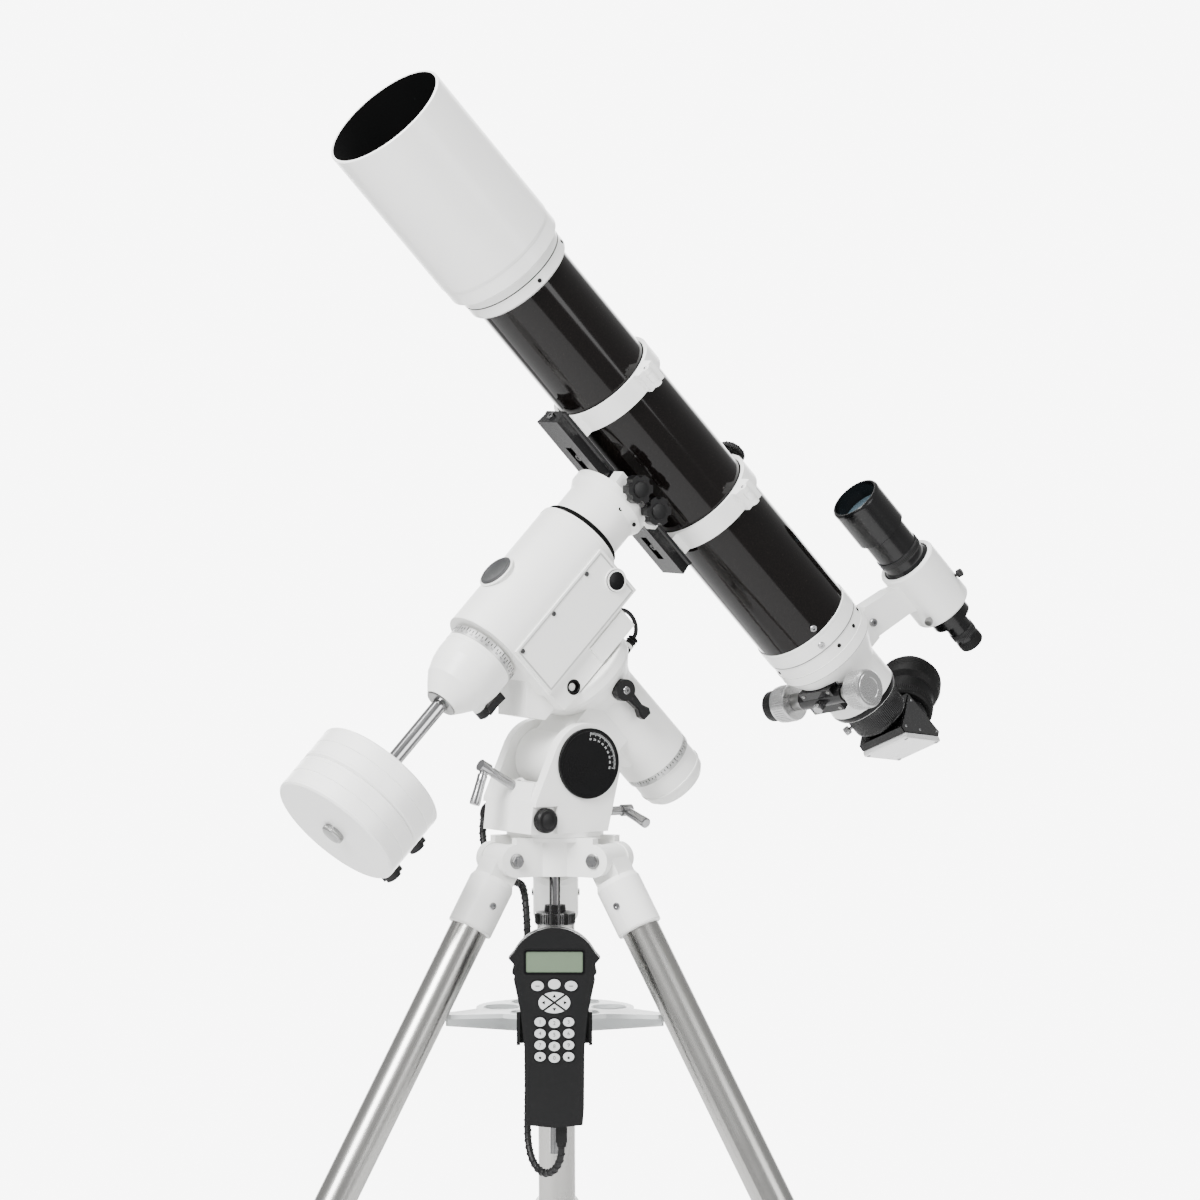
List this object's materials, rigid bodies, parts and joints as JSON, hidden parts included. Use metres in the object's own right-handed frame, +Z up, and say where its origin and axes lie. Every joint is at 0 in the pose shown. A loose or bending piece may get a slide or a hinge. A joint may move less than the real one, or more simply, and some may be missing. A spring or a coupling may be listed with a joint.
{
  "type": "telescope on tripod",
  "caption": "Refractor telescope with a white dew shield on a tilting equatorial mount, with counterweights on a shaft, a hand controller and a steel tripod with an accessory tray.",
  "frame": {"origin": "on the floor, on the tripod's vertical axis", "axes": "+Z up; the telescope points up towards -X; the side of the mount with the levers faces -Y"},
  "size_m": [1.1134, 0.878, 1.6245],
  "materials": {
    "white_casting": "satin white enamel with a faint pebble grain",
    "leg_tube": "stainless tube brushed along its length",
    "bright_steel": "polished bright steel",
    "tray": "milky white moulded plastic",
    "black_plastic": "black moulded plastic with a fine grain",
    "black_metal": "satin black anodised metal",
    "white_tube_parts": "smooth satin white paint",
    "tube_black": "gloss black with a fine metallic fleck",
    "lens": "coated lens with a faint green and violet sheen",
    "eyepiece_rubber": "ribbed black rubber",
    "keys": "light grey soft keys",
    "cord": "black spiral-wrapped cord"
  },
  "bodies": {
    "tripod_head": {"tripod_hub": "white_casting", "leg_bolts": "bright_steel", "handset": "black_plastic", "handset_keys": "keys", "handset_holder": "black_plastic", "handset_plug": "black_plastic", "handset_cord": "cord"},
    "leg_1": {"leg_castings_1": "white_casting", "leg_tube_1": "leg_tube"},
    "lower_leg_1": {"leg_lower_1": "leg_tube"},
    "leg_2": {"leg_castings_2": "white_casting", "leg_tube_2": "leg_tube"},
    "lower_leg_2": {"leg_lower_2": "leg_tube"},
    "leg_3": {"leg_castings_3": "white_casting", "leg_tube_3": "leg_tube"},
    "lower_leg_3": {"leg_lower_3": "leg_tube"},
    "tray": {"accessory_tray": "tray"},
    "mount_screw": {"mount_bolt": "bright_steel"},
    "azimuth_head": {"azimuth_base": "white_casting", "latitude_dials": "black_plastic", "control_plug": "black_plastic"},
    "azimuth_screw_near": {"azimuth_knob_near": "black_plastic"},
    "azimuth_screw_far": {"azimuth_knob_far": "black_plastic"},
    "latitude_screw_north": {"latitude_bolt_north": "bright_steel"},
    "latitude_screw_south": {"latitude_bolt_south": "bright_steel"},
    "polar": {"polar_housing": "white_casting", "polar_cap": "white_casting"},
    "ra_lever": {"ra_clutch_lever": "black_plastic"},
    "ra_head": {"dec_housing": "white_casting", "motor_cover": "white_casting", "motor_cable": "cord"},
    "dec_head": {"saddle_head": "white_casting", "dec_cup": "white_casting"},
    "saddle_screw_upper": {"saddle_knob_upper": "black_plastic"},
    "saddle_screw_lower": {"saddle_knob_lower": "black_plastic"},
    "shaft_lever": {"shaft_lock_lever": "black_plastic"},
    "shaft": {"counterweight_shaft": "bright_steel"},
    "weight_lower": {"counterweight_lower": "white_tube_parts"},
    "weight_upper": {"counterweight_upper": "white_tube_parts"},
    "weight_screw_lower": {"counterweight_knob_lower": "black_plastic"},
    "weight_screw_upper": {"counterweight_knob_upper": "black_plastic"},
    "telescope": {"dovetail_bar": "black_metal", "ring_bases": "white_tube_parts", "optical_tube": "tube_black", "lens_cell": "white_tube_parts", "objective_lens": "lens", "dew_shield": "white_tube_parts", "focuser_body": "white_tube_parts", "pinion_housing": "black_metal", "finder_bracket": "white_tube_parts", "finder_scope": "black_metal"},
    "ring_top_rear": {"ring_top_rear": "white_tube_parts"},
    "ring_screw_rear": {"ring_knob_rear": "black_plastic"},
    "ring_top_front": {"ring_top_front": "white_tube_parts"},
    "ring_screw_front": {"ring_knob_front": "black_plastic"},
    "camera_screw": {"camera_screw": "black_plastic"},
    "draw": {"draw_tube": "black_metal"},
    "focus_shaft": {"focus_knobs": "bright_steel"},
    "diagonal": {"diagonal": "black_metal", "eyepiece": "eyepiece_rubber"}
  },
  "joints": [
    {"name": "leg_fold_1", "type": "hinge", "parent": "tripod_head", "child": "leg_1", "pos_m": [0.03753, 0.0567, 0.724], "axis": [-0.8339, 0.5519, 0], "range_deg": [0, 12]},
    {"name": "leg_extend_1", "type": "slide", "parent": "leg_1", "child": "lower_leg_1", "axis": [0.276, 0.4169, -0.866], "range_m": [0, 0.3]},
    {"name": "leg_fold_2", "type": "hinge", "parent": "tripod_head", "child": "leg_2", "pos_m": [-0.06787, 0.00415, 0.724], "axis": [-0.061, -0.9981, 0], "range_deg": [0, 12]},
    {"name": "leg_extend_2", "type": "slide", "parent": "leg_2", "child": "lower_leg_2", "axis": [-0.4991, 0.0305, -0.866], "range_m": [0, 0.3]},
    {"name": "leg_fold_3", "type": "hinge", "parent": "tripod_head", "child": "leg_3", "pos_m": [0.03034, -0.06086, 0.724], "axis": [0.8949, 0.4462, 0], "range_deg": [0, 12]},
    {"name": "leg_extend_3", "type": "slide", "parent": "leg_3", "child": "lower_leg_3", "axis": [0.2231, -0.4475, -0.866], "range_m": [0, 0.3]},
    {"name": "tray_slide", "type": "slide", "parent": "tripod_head", "child": "tray", "axis": [0, 0, -1], "range_m": [0, 0.136]},
    {"name": "mount_lock", "type": "hinge", "parent": "tripod_head", "child": "mount_screw", "pos_m": [0, 0, 0.7], "axis": [0, 0, 1], "continuous": true},
    {"name": "azimuth", "type": "hinge", "parent": "tripod_head", "child": "azimuth_head", "pos_m": [0, 0, 0.75], "axis": [0, 0, 1], "range_deg": [-8, 8], "deforming": ["handset_cord"]},
    {"name": "azimuth_screw_near", "type": "hinge", "parent": "azimuth_head", "child": "azimuth_screw_near", "pos_m": [-0.05, -0.05, 0.772], "axis": [0, -1, 0], "continuous": true},
    {"name": "azimuth_screw_far", "type": "hinge", "parent": "azimuth_head", "child": "azimuth_screw_far", "pos_m": [-0.05, 0.05, 0.772], "axis": [0, 1, 0], "continuous": true},
    {"name": "latitude_screw_north", "type": "hinge", "parent": "azimuth_head", "child": "latitude_screw_north", "pos_m": [-0.044, 0, 0.801], "axis": [-0.8671, 0, 0.4981], "continuous": true},
    {"name": "latitude_screw_south", "type": "hinge", "parent": "azimuth_head", "child": "latitude_screw_south", "pos_m": [0.044, 0, 0.773], "axis": [1, 0, 0], "range_deg": [-55, 205]},
    {"name": "latitude", "type": "hinge", "parent": "azimuth_head", "child": "polar", "pos_m": [0.008, 0, 0.835], "axis": [0, 1, 0], "range_deg": [-15, 7]},
    {"name": "ra_lever_turn", "type": "hinge", "parent": "polar", "child": "ra_lever", "pos_m": [0.05846, 0, 0.91712], "axis": [0, -1, 0], "range_deg": [0, 40]},
    {"name": "right_ascension", "type": "hinge", "parent": "polar", "child": "ra_head", "pos_m": [-0.0425, 0, 1.017], "axis": [-0.7009, 0, 0.7133], "range_deg": [-90, 90], "deforming": ["motor_cable"]},
    {"name": "declination", "type": "hinge", "parent": "ra_head", "child": "dec_head", "pos_m": [-0.0425, 0, 1.017], "axis": [0.7133, 0, 0.7009], "continuous": true},
    {"name": "saddle_screw_upper", "type": "hinge", "parent": "dec_head", "child": "saddle_screw_upper", "pos_m": [0.07744, -0.045, 1.14748], "axis": [0, -1, 0], "continuous": true},
    {"name": "saddle_screw_lower", "type": "hinge", "parent": "dec_head", "child": "saddle_screw_lower", "pos_m": [0.10267, -0.045, 1.1218], "axis": [0, -1, 0], "continuous": true},
    {"name": "shaft_lever_turn", "type": "hinge", "parent": "dec_head", "child": "shaft_lever", "pos_m": [-0.13237, 0, 0.92868], "axis": [0.7009, 0, -0.7133], "range_deg": [0, 40]},
    {"name": "shaft_slide", "type": "slide", "parent": "dec_head", "child": "shaft", "axis": [0.7133, 0, 0.7009], "range_m": [0, 0.04]},
    {"name": "weight_lower_slide", "type": "slide", "parent": "shaft", "child": "weight_lower", "axis": [0.7133, 0, 0.7009], "range_m": [0, 0.03]},
    {"name": "weight_upper_slide", "type": "slide", "parent": "weight_lower", "child": "weight_upper", "axis": [0.7133, 0, 0.7009], "range_m": [0, 0.035]},
    {"name": "weight_screw_lower", "type": "hinge", "parent": "weight_lower", "child": "weight_screw_lower", "pos_m": [-0.2809, 0, 0.78272], "axis": [0.6971, 0.1045, -0.7093], "continuous": true},
    {"name": "weight_screw_upper", "type": "hinge", "parent": "weight_upper", "child": "weight_screw_upper", "pos_m": [-0.24966, 0, 0.81342], "axis": [0.6971, 0.1045, -0.7093], "continuous": true},
    {"name": "telescope_slide", "type": "slide", "parent": "dec_head", "child": "telescope", "axis": [-0.7009, 0, 0.7133], "range_m": [-0.04, 0.04]},
    {"name": "ring_open_rear", "type": "hinge", "parent": "telescope", "child": "ring_top_rear", "pos_m": [0.2189, -0.0762, 1.13928], "axis": [0.7009, 0, -0.7133], "range_deg": [0, 95]},
    {"name": "ring_screw_rear", "type": "hinge", "parent": "ring_top_rear", "child": "ring_screw_rear", "pos_m": [0.2189, 0.07, 1.13928], "axis": [0.7133, 0, 0.7009], "continuous": true},
    {"name": "ring_open_front", "type": "hinge", "parent": "telescope", "child": "ring_top_front", "pos_m": [0.08292, -0.0762, 1.27765], "axis": [0.7009, 0, -0.7133], "range_deg": [0, 95]},
    {"name": "ring_screw_front", "type": "hinge", "parent": "ring_top_front", "child": "ring_screw_front", "pos_m": [0.08292, 0.07, 1.27765], "axis": [0.7133, 0, 0.7009], "continuous": true},
    {"name": "camera_screw_turn", "type": "hinge", "parent": "ring_top_rear", "child": "camera_screw", "pos_m": [0.26133, 0.02604, 1.18098], "axis": [0.6744, 0.3256, 0.6627], "continuous": true},
    {"name": "focus", "type": "slide", "parent": "telescope", "child": "draw", "axis": [0.7009, 0, -0.7133], "range_m": [0, 0.06]},
    {"name": "focus_turn", "type": "hinge", "parent": "telescope", "child": "focus_shaft", "pos_m": [0.37334, -0.01191, 0.89568], "axis": [-0.1846, 0.9659, -0.1814], "range_deg": [-5, 1085]},
    {"name": "diagonal_turn", "type": "hinge", "parent": "draw", "child": "diagonal", "pos_m": [0.49055, 0, 0.83981], "axis": [-0.7009, 0, 0.7133], "range_deg": [-90, 90]}
  ],
  "couplings": [
    {"joint": "leg_fold_2", "follows": "leg_fold_1", "ratio": 1},
    {"joint": "leg_fold_3", "follows": "leg_fold_1", "ratio": 1},
    {"joint": "tray_slide", "follows": "leg_fold_1", "m_per_rad": 0.6446},
    {"joint": "focus_turn", "follows": "focus", "rad_per_m": 314}
  ]
}
